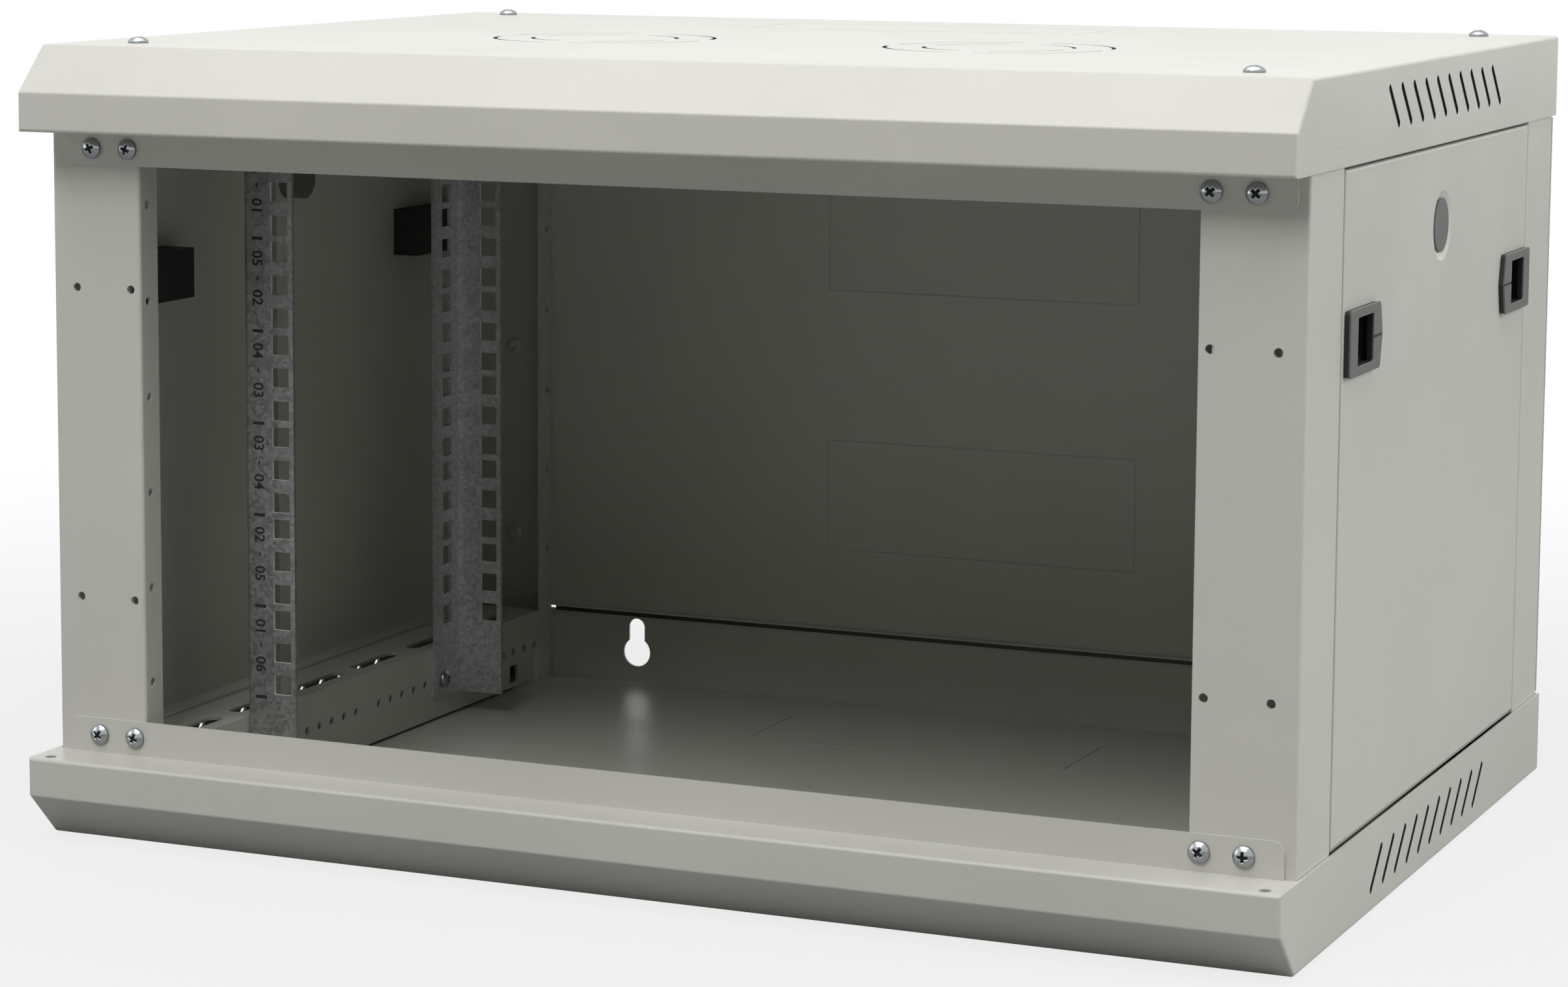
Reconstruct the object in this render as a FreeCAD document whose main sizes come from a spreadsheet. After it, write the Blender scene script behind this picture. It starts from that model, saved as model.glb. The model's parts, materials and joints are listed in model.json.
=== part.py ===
"""Six-unit wall mount network cabinet, shown without its door.

A folded sheet-metal frame: four posts joined by four side rails, closed by a top and a bottom
cover, a back panel and two side panels that tilt off after their slide latches are released.
Frame of reference: +Z up, +Y to the wall, origin on the floor below the cabinet's centre.
"""
import FreeCAD, Part
import math
import os
import re
import Sketcher

Vector = FreeCAD.Vector
X_AXIS, Y_AXIS, Z_AXIS = Vector(1, 0, 0), Vector(0, 1, 0), Vector(0, 0, 1)

SIZES = [
    # overall cabinet
    ("width", 600), ("depth", 450), ("height", 368),
    # sheet thicknesses and fits
    ("cover_sheet", 1.2), ("post_sheet", 1.5), ("rail_sheet", 2), ("fit_gap", 0.3),
    # covers
    ("skirt_rise", 39), ("chamfer", 21), ("lip_reach", 26),
    ("flange_drop", 16), ("flange_in", 5), ("flange_corner", 5), ("cover_bend", 1.6),
    ("vent_count", 10), ("vent_pitch", 20), ("vent_length", 26), ("vent_width", 3.5),
    ("vent_middle", 18), ("vent_centre", 10),
    ("fan_spacing", 200), ("fan_setback", 174), ("fan_ring", 53.5), ("fan_inner_ring", 35.5),
    ("fan_slit", 2), ("fan_tab", 14),
    ("entry_wide", 174), ("entry_deep", 60), ("entry_inset", 46), ("entry_groove", 0.8),
    ("groove_depth", 0.4), ("back_entry_rise", 84),
    ("pivot_spread", 582.4), ("pivot_setback", 5.9), ("pivot_radius", 2.6),
    ("keyhole_spread", 400), ("keyhole_radius", 8), ("keyhole_neck", 4.7),
    ("keyhole_lift", 14), ("keyhole_low", 18), ("keyhole_top", 25),
    # posts
    ("post_face", 46.5), ("post_side", 49.2), ("post_inner", 15), ("post_return", 10),
    ("post_tab", 44), ("door_hole_radius", 2), ("door_hole_in", 5.3), ("door_hole_out", 34.2),
    ("door_hole_spacing", 144.5), ("post_hole_radius", 2), ("post_hole_in", 6.5),
    # side rails
    ("side_rail_wide", 34), ("side_rail_ledge", 44.8), ("side_rail_gap", 0.3),
    ("rail_slot_count", 6), ("rail_slot_parts", 7.5), ("rail_slot_long", 46),
    ("rail_slot_wide", 8),
    ("rail_slot_in", 12), ("row_hole_radius", 2.2), ("row_hole_pitch", 12.5), ("row_holes", 5),
    ("row_near", 37), ("row_end", 32.1), ("row_rise", 22),
    ("side_square", 9.5), ("side_square_rise", 10), ("side_square_end", 32),
    # 19-inch mounting rails
    ("rack_units", 6), ("unit_height", 44.45), ("unit_first", 6.35), ("unit_step", 15.875),
    ("rail_flange", 26.7), ("rack_hole_in", 19.45), ("square_hole", 9.5),
    ("rail_leg", 28), ("rail_start", 13.4), ("front_setback", 92), ("rear_setback", 112.8),
    ("rail_screw_rise", 22.8), ("rail_screw_back", 9),
    # back panel
    ("panel_sheet", 1.2), ("panel_gap", 1.8), ("panel_lift", 1.5), ("panel_drop", 1.8),
    ("panel_return", 12), ("back_gap", 1.3), ("tongue_in", 3), ("tongue_overlap", 0.9),
    ("joggle", 1.2), ("back_screw_in", 24), ("back_screw_pitch", 104),
    # round cap in the side panel
    ("dish_radius", 16), ("dish_floor", 12.6), ("dish_depth", 1.5), ("cap_hole", 10.8),
    ("cap_drop", 35.5), ("cap_head", 12.2), ("cap_barrel", 10.4), ("cap_length", 10),
    # slide latches
    ("latch_drop", 72.8), ("latch_inset", 2), ("latch_long", 50), ("latch_tall", 28.5),
    ("latch_shoulder", 3.6), ("latch_proud", 3), ("latch_plate", 0.8),
    ("latch_corner", 2), ("latch_rim", 0.3), ("index_wide", 1.2), ("index_depth", 0.4),
    ("window_start", 11.5), ("window_long", 24.2), ("window_tall", 20.5), ("window_corner", 1),
    ("case_start", 3), ("case_long", 42), ("case_tall", 24), ("case_deep", 15.4),
    ("case_wall", 1.4), ("case_end_wall", 4), ("bolt_wide", 13), ("bolt_thick", 1.8),
    ("bolt_depth", 10.6), ("cup_start", 13.4), ("cup_long", 27), ("cup_tall", 20),
    ("cup_wall", 1.6), ("cup_top", 2.6),
    # screws
    ("screw_head", 4.75), ("screw_head_rise", 3), ("screw_shank", 2.4), ("screw_length", 9),
    ("screw_hole", 2.7), ("frame_screw_shank", 2.8), ("frame_screw_hole", 3.1),
    ("frame_screw_length", 11), ("flush_head", 5), ("flush_hole", 5.3), ("flush_rise", 1.1),
    ("cover_screw_in", 32), ("cover_screw_back", 24), ("flange_screw_out", 22.1),
    ("flange_screw_step", 19.2), ("flange_screw_drop", 8.3),
]
NAMES = {name for name, _ in SIZES}
SIDES = (("left", -1), ("right", 1))
ENDS = (("front", -1), ("rear", 1))

document = FreeCAD.newDocument("wall_mount_network_cabinet")
sheet = document.addObject("Spreadsheet::Sheet", "Sizes")
for row, (alias, number) in enumerate(SIZES, 1):
    sheet.set(f"A{row}", alias)
    sheet.set(f"B{row}", str(number))
    sheet.setAlias(f"B{row}", alias)
document.recompute()

# Planes that several pieces share, as expressions of the sheet's cells.
FRONT_FACE = "(-depth / 2 + lip_reach)"
REAR_FACE = "(depth / 2 - cover_sheet)"
OUTER_FACE = "(width / 2 - cover_sheet - fit_gap)"
INNER_FACE = f"({OUTER_FACE} - post_face)"
PANEL_FRONT = f"({FRONT_FACE} + post_side + panel_gap)"
PANEL_REAR = f"({REAR_FACE} - post_side - panel_gap)"
PANEL_LOW = "(skirt_rise + panel_lift)"
PANEL_HIGH = "(height - skirt_rise - panel_drop)"
FRAME_MIDDLE = f"(({FRONT_FACE} + {REAR_FACE}) / 2)"
RACK_BOTTOM = "((height - rack_units * unit_height) / 2)"
RACK_EDGE = f"({INNER_FACE} - rail_flange)"
CAP_RISE = f"({PANEL_HIGH} - cap_drop)"
LATCH_RISE = f"({PANEL_HIGH} - latch_drop)"
FLANGE_HALF = f"({OUTER_FACE} - flange_in)"


def bound(expression):
    """The expression with each size's name led by the sheet's own name."""
    return re.sub(r"[a-z_]+", lambda m: "Sizes." + m.group() if m.group() in NAMES else m.group(),
                  str(expression))


def size(expression):
    """The present value of an expression of the sheet's cells."""
    found = sheet.evalExpression(bound(expression).replace("Sizes.", ""))
    return float(getattr(found, "Value", found))


def body(label):
    made = document.addObject("PartDesign::Body", label)
    made.Label = label
    return made


def origin_part(owner, role):
    return next(part for part in owner.Origin.OriginFeatures if part.Role == role)


def sketch(owner, plane, level="0"):
    """An empty sketch on one of the body's own planes, moved along its normal.

    The normals are +X for YZ, -Y for XZ and +Z for XY, and level is the X, Y or Z reached.
    """
    made = owner.newObject("Sketcher::SketchObject", "Outline")
    made.AttachmentSupport = [(origin_part(owner, plane + "_Plane"), "")]
    made.MapMode = "FlatFace"
    along = f"-({level})" if plane == "XZ" else f"({level})"
    made.setExpression("AttachmentOffset.Base.z", bound(along))
    return made


def place(outline, geometry, point, across, up):
    for kind, expression in (("DistanceX", across), ("DistanceY", up)):
        at = outline.addConstraint(
            Sketcher.Constraint(kind, -1, 1, geometry, point, size(expression)))
        outline.setExpression(f"Constraints[{at}]", bound(expression))


def polygon(outline, corners):
    """A closed outline through corners, each a pair of expressions."""
    points = [Vector(size(across), size(up), 0) for across, up in corners]
    first, count = outline.GeometryCount, len(points)
    for i, point in enumerate(points):
        outline.addGeometry(Part.LineSegment(point, points[(i + 1) % count]), False)
    for i in range(count):
        outline.addConstraint(Sketcher.Constraint(
            "Coincident", first + i, 2, first + (i + 1) % count, 1))
    for i, (across, up) in enumerate(corners):
        place(outline, first + i, 1, across, up)


def rectangle(outline, left, low, right, high):
    polygon(outline, [(left, low), (right, low), (right, high), (left, high)])


def circle(outline, across, up, radius):
    centre = Vector(size(across), size(up), 0)
    at = outline.addGeometry(Part.Circle(centre, Z_AXIS, size(radius)), False)
    place(outline, at, 3, across, up)
    ring = outline.addConstraint(Sketcher.Constraint("Radius", at, size(radius)))
    outline.setExpression(f"Constraints[{ring}]", bound(radius))


def slot(outline, start, end, radius):
    """A round-ended slot between two centres, each a pair of expressions."""
    centres = [Vector(size(a), size(u), 0) for a, u in (start, end)]
    reach = size(radius)
    along = centres[1] - centres[0]
    turn = math.atan2(along.y, along.x)
    across = Vector(-math.sin(turn), math.cos(turn), 0) * reach
    first = outline.GeometryCount
    for centre, sweep in zip(centres, (math.pi / 2, -math.pi / 2)):
        rim = Part.Circle(centre, Z_AXIS, reach)
        outline.addGeometry(Part.ArcOfCircle(rim, turn + sweep, turn + sweep + math.pi), False)
    outline.addGeometry(Part.LineSegment(centres[0] - across, centres[1] - across), False)
    outline.addGeometry(Part.LineSegment(centres[1] + across, centres[0] + across), False)
    joints = ((0, 2, 2, 1), (2, 2, 1, 1), (1, 2, 3, 1), (3, 2, 0, 1))
    for one, one_end, two, two_end in joints:
        outline.addConstraint(Sketcher.Constraint(
            "Tangent", first + one, one_end, first + two, two_end))
    place(outline, first, 3, *start)
    place(outline, first + 1, 3, *end)
    at = outline.addConstraint(Sketcher.Constraint("Radius", first, reach))
    outline.setExpression(f"Constraints[{at}]", bound(radius))
    outline.addConstraint(Sketcher.Constraint("Equal", first, first + 1))


def pad(owner, outline, length, both_ways=False):
    made = owner.newObject("PartDesign::Pad", "Pad")
    made.Profile = outline
    made.SideType = "Symmetric" if both_ways else "One side"
    made.setExpression("Length", bound(length))
    return made


def pocket(owner, outline, length=None):
    """Cuts both ways from the sketch: through everything, or for the given whole length."""
    made = owner.newObject("PartDesign::Pocket", "Pocket")
    made.Profile = outline
    made.SideType = "Symmetric"
    if length is None:
        made.Type = "ThroughAll"
    else:
        made.setExpression("Length", bound(length))
    return made


def row(owner, feature, axis, pitch, count, reverse=False):
    """Repeats a feature along one of the body's axes."""
    made = owner.newObject("PartDesign::LinearPattern", "Row")
    made.Originals = [feature]
    made.Direction = (origin_part(owner, axis + "_Axis"), [""])
    made.Reversed = reverse
    made.setExpression("Length", bound(f"({pitch}) * (({count}) - 1)"))
    made.setExpression("Occurrences", bound(count))
    owner.Tip = made
    return made


def round_edges(owner, radius, wanted):
    """Rounds each edge of the body's tip for which wanted(edge) is true."""
    document.recompute()
    base = owner.Tip
    names = [f"Edge{i}" for i, edge in enumerate(base.Shape.Edges, 1) if wanted(edge)]
    made = owner.newObject("PartDesign::Fillet", "Rounded")
    made.Base = (base, names)
    made.setExpression("Radius", bound(radius))
    return made


def runs_along(edge, direction):
    """True for a straight edge parallel to a direction."""
    if len(edge.Vertexes) != 2 or edge.Curve.TypeId != "Part::GeomLine":
        return False
    return abs(edge.Curve.Direction.dot(direction)) > 0.999


def end_point(edge):
    return edge.Vertexes[0].Point


def near(value, target):
    return abs(value - target) < 0.01


# --- covers -------------------------------------------------------------------------------------

def cover(label, level):
    """One folded cover; level(q) is the height of what lies q inside its outer plate."""
    made = body(label)
    lip, slope = "-depth / 2", "(-depth / 2 + chamfer)"
    inner_turn = "cover_sheet * (sqrt(2) - 1)"
    bends = [("depth / 2", "0"), (slope, "0"), (lip, "chamfer"), (lip, "skirt_rise")]
    hood = sketch(made, "YZ")
    polygon(hood, [(y, level(q)) for y, q in (
        *bends,
        (FRONT_FACE, "skirt_rise"), (FRONT_FACE, "skirt_rise - cover_sheet"),
        (f"{lip} + cover_sheet", "skirt_rise - cover_sheet"),
        (f"{lip} + cover_sheet", f"chamfer + {inner_turn}"),
        (f"{slope} + {inner_turn}", "cover_sheet"), ("depth / 2", "cover_sheet"))])
    pad(made, hood, "width", both_ways=True)
    for near_side, far_side in (("-width / 2", None), ("width / 2 - cover_sheet", None)):
        skirt = sketch(made, "YZ", near_side)
        polygon(skirt, [(y, level(q)) for y, q in (*bends, ("depth / 2", "skirt_rise"))])
        pad(made, skirt, "cover_sheet")
    rear = sketch(made, "XZ", "depth / 2")
    rectangle(rear, "-width / 2", level("0"), "width / 2", level("skirt_rise"))
    pad(made, rear, "cover_sheet")
    flange = sketch(made, "XZ", FRONT_FACE)
    rectangle(flange, f"-{FLANGE_HALF}", level("skirt_rise - cover_sheet"), FLANGE_HALF,
              level("skirt_rise + flange_drop"))
    pad(made, flange, "cover_sheet")
    flange_end = size(level("skirt_rise + flange_drop"))
    round_edges(made, "flange_corner", lambda edge: runs_along(edge, Y_AXIS)
                and near(end_point(edge).z, flange_end)
                and near(abs(end_point(edge).x), size(FLANGE_HALF)))
    folds = [(size(y), size(level(q))) for y, q in bends]
    round_edges(made, "cover_bend", lambda edge: len(edge.Vertexes) == 2 and all(
        near(abs(v.X), size("width / 2")) and any(near(v.Y, y) and near(v.Z, z) for y, z in folds)
        for v in edge.Vertexes))

    screws = sketch(made, "XZ", FRONT_FACE)
    for x in FLANGE_SCREWS:
        circle(screws, x, level("skirt_rise + flange_screw_drop"), "screw_hole")
    pocket(made, screws, "4 * cover_sheet")
    vents = sketch(made, "YZ")
    reach = "(vent_length - vent_width) / 2 / sqrt(2)"
    first = "vent_centre - vent_pitch * (vent_count - 1) / 2"
    slot(vents, (f"{first} - {reach}", level(f"vent_middle - {reach}")),
         (f"{first} + {reach}", level(f"vent_middle + {reach}")), "vent_width / 2")
    row(made, pocket(made, vents), "Y", "vent_pitch", "vent_count")
    plate = sketch(made, "XY", level("0"))
    hole = "frame_screw_hole" if label == "top_cover" else "flush_hole"
    for x, y in cover_screw_spots():
        circle(plate, x, y, hole)
    pocket(made, plate, "4 * cover_sheet")
    pivots = sketch(made, "XY", level("skirt_rise"))
    for side in ("-", ""):
        circle(pivots, f"{side}pivot_spread / 2", "-depth / 2 + pivot_setback", "pivot_radius")
    pocket(made, pivots, "4 * cover_sheet")
    keyholes(made, "height - keyhole_top" if label == "top_cover" else "keyhole_low")
    entry_groove(made, "XY", level("0"), "-entry_wide / 2", f"{REAR_FACE} - entry_inset",
                 "entry_wide / 2", f"{REAR_FACE} - entry_inset - entry_deep")
    entry_groove(made, "XY", level("cover_sheet"), "-entry_wide / 2",
                 f"{REAR_FACE} - entry_inset", "entry_wide / 2",
                 f"{REAR_FACE} - entry_inset - entry_deep")
    return made


def cover_screw_spots():
    """Where the screws pass a cover, a post's end tab and a side rail together."""
    return [(f"{side}({OUTER_FACE} - cover_screw_in)", y) for side in ("-", "")
            for y in (f"{FRONT_FACE} + cover_screw_back", f"{REAR_FACE} - cover_screw_back")]


FLANGE_SCREWS = [f"{side}({OUTER_FACE} - flange_screw_out - flange_screw_step * {step})"
                 for side in ("-", "") for step in (0, 1)]


def keyholes(owner, rise):
    """Two keyholes to hang on: a round entry with a narrower neck above it."""
    entry = sketch(owner, "XZ", "depth / 2")
    for side in ("-", ""):
        circle(entry, f"{side}keyhole_spread / 2", rise, "keyhole_radius")
    pocket(owner, entry, "4 * cover_sheet")
    neck = sketch(owner, "XZ", "depth / 2")
    for side in ("-", ""):
        x = f"{side}keyhole_spread / 2"
        slot(neck, (x, rise), (x, f"{rise} + keyhole_lift"), "keyhole_neck")
    pocket(owner, neck, "4 * cover_sheet")


def entry_groove(owner, plane, level, left, low, right, high):
    """The pressed outline of a knock-out cable entry: a shallow groove round a rectangle."""
    groove = sketch(owner, plane, level)
    rectangle(groove, left, low, right, high)
    sign = "-" if size(high) > size(low) else ""
    rectangle(groove, f"{left} + entry_groove", f"{low} - ({sign}entry_groove)",
              f"{right} - entry_groove", f"{high} + ({sign}entry_groove)")
    pocket(owner, groove, "2 * groove_depth")


def fan_rings(owner, level):
    """Two fan knock-outs, each two rings of arc slits that leave tabs between them."""
    for side in ("-", ""):
        across, back = f"{side}fan_spacing / 2", f"{FRONT_FACE} + fan_setback"
        for ring, slits in (("fan_ring", 4), ("fan_inner_ring", 4)):
            outline = sketch(owner, "XY", level)
            for turn in range(slits):
                arc_slit(outline, across, back, ring, turn * 360 / slits, 360 / slits)
            pocket(owner, outline, "4 * cover_sheet")


def arc_slit(outline, across, up, radius, start, sweep):
    """A slit along an arc, cut short at both ends by half a tab."""
    centre, outer = Vector(size(across), size(up), 0), size(radius)
    tab = math.degrees(size("fan_tab") / outer)
    ends = [math.radians(start + tab / 2), math.radians(start + sweep - tab / 2)]
    first = outline.GeometryCount
    corners = []
    for reach in (outer, outer - size("fan_slit")):
        rim = Part.Circle(centre, Z_AXIS, reach)
        outline.addGeometry(Part.ArcOfCircle(rim, *ends), False)
        corners.append([centre + Vector(math.cos(a), math.sin(a), 0) * reach for a in ends])
    for i in (0, 1):
        outline.addGeometry(Part.LineSegment(corners[0][i], corners[1][i]), False)
        outline.addConstraint(Sketcher.Constraint("Coincident", first + 2 + i, 1, first, 1 + i))
        outline.addConstraint(Sketcher.Constraint("Coincident", first + 2 + i, 2, first + 1, 1 + i))
    place(outline, first, 3, across, up)
    outline.addConstraint(Sketcher.Constraint("Coincident", first + 1, 3, first, 3))
    for i, expression in enumerate((radius, f"{radius} - fan_slit")):
        at = outline.addConstraint(Sketcher.Constraint("Radius", first + i, size(expression)))
        outline.setExpression(f"Constraints[{at}]", bound(expression))


# --- frame --------------------------------------------------------------------------------------

def post(label, side, end):
    """A folded C-section post: face, side strip, inner return, and a tab at each end."""
    made = body(label)
    face = FRONT_FACE if end < 0 else REAR_FACE

    def at(across, back):
        return f"{side} * ({across})", f"{face} - {end} * ({back})"

    section = sketch(made, "XY", "cover_sheet")
    polygon(section, [at(across, back) for across, back in (
        (INNER_FACE, "post_inner"), (INNER_FACE, "0"), (OUTER_FACE, "0"),
        (OUTER_FACE, "post_side"), (f"{OUTER_FACE} - post_return", "post_side"),
        (f"{OUTER_FACE} - post_return", "post_side - post_sheet"),
        (f"{OUTER_FACE} - post_sheet", "post_side - post_sheet"),
        (f"{OUTER_FACE} - post_sheet", "post_sheet"), (f"{INNER_FACE} + post_sheet", "post_sheet"),
        (f"{INNER_FACE} + post_sheet", "post_inner"))])
    pad(made, section, "height - 2 * cover_sheet")
    for level in ("cover_sheet", "height - cover_sheet - post_sheet"):
        tab = sketch(made, "XY", level)
        near_x, near_y = at(f"{INNER_FACE} + post_sheet / 2", "post_sheet / 2")
        far_x, far_y = at(f"{OUTER_FACE} - post_sheet / 2", "post_tab")
        rectangle(tab, near_x, near_y, far_x, far_y)
        pad(made, tab, "post_sheet")
    for across, back, radius in ((OUTER_FACE, "0", "post_sheet"), (INNER_FACE, "0", "post_sheet"),
                                 (OUTER_FACE, "post_side", "post_sheet")):
        x, y = (size(value) for value in at(across, back))
        round_edges(made, radius, lambda edge: runs_along(edge, Z_AXIS)
                    and near(end_point(edge).x, x) and near(end_point(edge).y, y))

    if end < 0:
        holes = sketch(made, "XZ", face)
        for across in ("door_hole_in", "door_hole_out"):
            for up in ("-", ""):
                circle(holes, f"{side} * ({INNER_FACE} + {across})",
                       f"height / 2 + {up}door_hole_spacing / 2", "door_hole_radius")
        pocket(made, holes, "4 * post_sheet")
        screws = sketch(made, "XZ", face)
        for step in (0, 1):
            x = f"{side} * ({OUTER_FACE} - flange_screw_out - flange_screw_step * {step})"
            for z in ("skirt_rise + flange_screw_drop",
                      "height - skirt_rise - flange_screw_drop"):
                circle(screws, x, z, "screw_hole")
        pocket(made, screws, "4 * post_sheet")
    else:
        screws = sketch(made, "XZ", face)
        circle(screws, f"{side} * ({OUTER_FACE} - back_screw_in)",
               "height / 2 - back_screw_pitch", "screw_hole")
        row(made, pocket(made, screws, "4 * post_sheet"), "Z", "back_screw_pitch", "3")
    ladder = sketch(made, "YZ", f"{side} * ({INNER_FACE})")
    circle(ladder, f"{face} - {end} * post_hole_in", f"{RACK_BOTTOM} + unit_height / 2",
           "post_hole_radius")
    row(made, pocket(made, ladder, "4 * post_sheet"), "Z", "unit_height", "rack_units")
    tabs = sketch(made, "XY")
    circle(tabs, f"{side} * ({OUTER_FACE} - cover_screw_in)",
           f"{face} - {end} * cover_screw_back", "frame_screw_hole")
    pocket(made, tabs)
    return made


def side_rail(label, side, level):
    """A channel from post to post: inner web, a flange on the end tabs and a slotted flange."""
    made = body(label)
    base = "cover_sheet + post_sheet"
    top = f"{PANEL_LOW} - side_rail_gap"
    web_front, web_rear = (f"{FRONT_FACE} + post_inner + side_rail_gap",
                           f"{REAR_FACE} - post_inner - side_rail_gap")
    inside = f"{INNER_FACE}"
    foot = sketch(made, "XZ", FRAME_MIDDLE)
    rectangle(foot, f"{side} * ({inside} + post_sheet + side_rail_gap)", level(base),
              f"{side} * ({inside} + side_rail_wide)", level(f"{base} + post_sheet"))
    pad(made, foot, f"{REAR_FACE} - ({FRONT_FACE}) - 2 * (post_sheet + side_rail_gap)",
        both_ways=True)
    web_length = f"({web_rear}) - ({web_front})"
    channel = sketch(made, "XZ", FRAME_MIDDLE)
    polygon(channel, [(f"{side} * ({inside} + {across})", level(q)) for across, q in (
        ("side_rail_wide", base), ("0", base), ("0", top), ("side_rail_wide", top),
        ("side_rail_wide", f"{top} - post_sheet"), ("post_sheet", f"{top} - post_sheet"),
        ("post_sheet", f"{base} + post_sheet"), ("side_rail_wide", f"{base} + post_sheet"))])
    pad(made, channel, web_length, both_ways=True)
    ledge = sketch(made, "XY", level(f"{top} - post_sheet / 2"))
    rectangle(ledge, f"{side} * ({inside} + side_rail_wide - post_sheet)",
              f"{FRONT_FACE} + post_side + side_rail_gap",
              f"{side} * ({inside} + side_rail_ledge)", f"{REAR_FACE} - post_side - side_rail_gap")
    pad(made, ledge, "post_sheet", both_ways=True)

    slots = sketch(made, "XY", level(top))
    pitch = "depth / rail_slot_parts"
    start = f"{FRAME_MIDDLE} - {pitch} * (rail_slot_count - 1) / 2"
    run = "(rail_slot_long - rail_slot_wide) / 2"
    x = f"{side} * ({inside} + rail_slot_in)"
    slot(slots, (x, f"{start} - {run}"), (x, f"{start} + {run}"), "rail_slot_wide / 2")
    row(made, pocket(made, slots, "4 * post_sheet"), "Y", pitch, "rail_slot_count")
    for middle in (f"{web_front} + row_end", f"{FRAME_MIDDLE} - row_near",
                   f"{FRAME_MIDDLE} + row_near", f"{web_rear} - row_end"):
        rowed = sketch(made, "YZ", f"{side} * ({inside})")
        first = f"{middle} - row_hole_pitch * (row_holes - 1) / 2"
        circle(rowed, first, level("row_rise"), "row_hole_radius")
        row(made, pocket(made, rowed, "4 * post_sheet"), "Y", "row_hole_pitch", "row_holes")
    squares = sketch(made, "YZ", f"{side} * ({inside})")
    for middle in (f"{web_front} + side_square_end", f"{web_rear} - side_square_end"):
        rectangle(squares, f"{middle} - side_square / 2", level("side_square_rise - side_square / 2"),
                  f"{middle} + side_square / 2", level("side_square_rise + side_square / 2"))
    pocket(made, squares, "4 * post_sheet")
    bolts = sketch(made, "YZ", f"{side} * ({inside})")
    for y in RAIL_SCREW_SPOTS.values():
        circle(bolts, y, level("rail_screw_rise"), "screw_hole")
    pocket(made, bolts, "4 * post_sheet")
    ends = sketch(made, "XY", level(base))
    for sx, y in cover_screw_spots():
        if size(sx) * side > 0:
            circle(ends, sx, y, "frame_screw_hole")
    pocket(made, ends, "4 * post_sheet")
    return made


RAIL_SCREW_SPOTS = {"front": f"{FRONT_FACE} + front_setback + rail_leg - rail_screw_back",
                    "rear": f"{REAR_FACE} - rear_setback - rail_leg + rail_screw_back"}


def mounting_rail(label, side, end_name, end):
    """A 19-inch rail: a flange with three square holes to a unit and a leg to the side rails."""
    made = body(label)
    face = f"{FRONT_FACE} + front_setback" if end < 0 else f"{REAR_FACE} - rear_setback"

    def at(across, back):
        return f"{side} * ({across})", f"{face} - {end} * ({back})"

    section = sketch(made, "XY", "rail_start")
    polygon(section, [at(across, back) for across, back in (
        (RACK_EDGE, "0"), (INNER_FACE, "0"), (INNER_FACE, "rail_leg"),
        (f"{INNER_FACE} - rail_sheet", "rail_leg"), (f"{INNER_FACE} - rail_sheet", "rail_sheet"),
        (RACK_EDGE, "rail_sheet"))])
    pad(made, section, "height - 2 * rail_start")
    x, y = (size(value) for value in at(INNER_FACE, "0"))
    round_edges(made, "rail_sheet", lambda edge: runs_along(edge, Z_AXIS)
                and near(end_point(edge).x, x) and near(end_point(edge).y, y))

    half = "square_hole / 2"
    leg_middle = f"{face} - {end} * (rail_leg + rail_sheet) / 2"
    for plane, level, middle in (("XZ", face, f"{side} * ({INNER_FACE} - rack_hole_in)"),
                                 ("YZ", f"{side} * ({INNER_FACE})", leg_middle)):
        squares = sketch(made, plane, level)
        for step in (0, 1, 2):
            z = f"{RACK_BOTTOM} + unit_first + unit_step * {step}"
            rectangle(squares, f"{middle} - {half}", f"{z} - {half}",
                      f"{middle} + {half}", f"{z} + {half}")
        row(made, pocket(made, squares, "2 * rail_sheet + 1"), "Z", "unit_height", "rack_units")
    bolts = sketch(made, "YZ", f"{side} * ({INNER_FACE})")
    for z in ("rail_screw_rise", "height - rail_screw_rise"):
        circle(bolts, RAIL_SCREW_SPOTS[end_name], z, "screw_hole")
    pocket(made, bolts, "4 * rail_sheet")
    return made


def back_panel():
    """The back sheet, level with the covers' rear skirts, and a joggled tongue behind each."""
    made = body("back_panel")
    plate = sketch(made, "XZ", "depth / 2")
    rectangle(plate, f"-({OUTER_FACE})", "skirt_rise + back_gap", OUTER_FACE,
              "height - skirt_rise - back_gap")
    pad(made, plate, "panel_sheet")
    half = f"({INNER_FACE} - tongue_in)"
    for level in (from_floor, from_top):
        seam = "skirt_rise + back_gap"
        step = sketch(made, "XZ", "depth / 2 - panel_sheet / 2")
        rectangle(step, f"-{half}", level(seam), half, level(f"{seam} + joggle"))
        pad(made, step, "panel_sheet + fit_gap")
        tongue = sketch(made, "XZ", f"{REAR_FACE} - fit_gap")
        rectangle(tongue, f"-{half}", level("skirt_rise - tongue_overlap"), half,
                  level(f"{seam} + joggle"))
        pad(made, tongue, "panel_sheet")
    screws = sketch(made, "XZ", "depth / 2")
    for side in ("-", ""):
        circle(screws, f"{side}({OUTER_FACE} - back_screw_in)",
               "height / 2 - back_screw_pitch", "screw_hole")
    row(made, pocket(made, screws, "4 * panel_sheet"), "Z", "back_screw_pitch", "3")
    for face in ("depth / 2", "depth / 2 - panel_sheet"):
        for low, high in (("back_entry_rise", "back_entry_rise + entry_deep"),
                          ("height - back_entry_rise - entry_deep", "height - back_entry_rise")):
            entry_groove(made, "XZ", face, "-entry_wide / 2", low, "entry_wide / 2", high)
    return made


# --- side panels and their latches --------------------------------------------------------------

def latch_outlines(side, end):
    """A function from (distance in from the panel's edge, height) to a latch's Y and Z."""
    edge = PANEL_FRONT if end < 0 else PANEL_REAR

    def at(inward, up):
        return f"{edge} - {end} * (latch_inset + {inward})", f"{LATCH_RISE} + ({up})"

    return at


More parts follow.
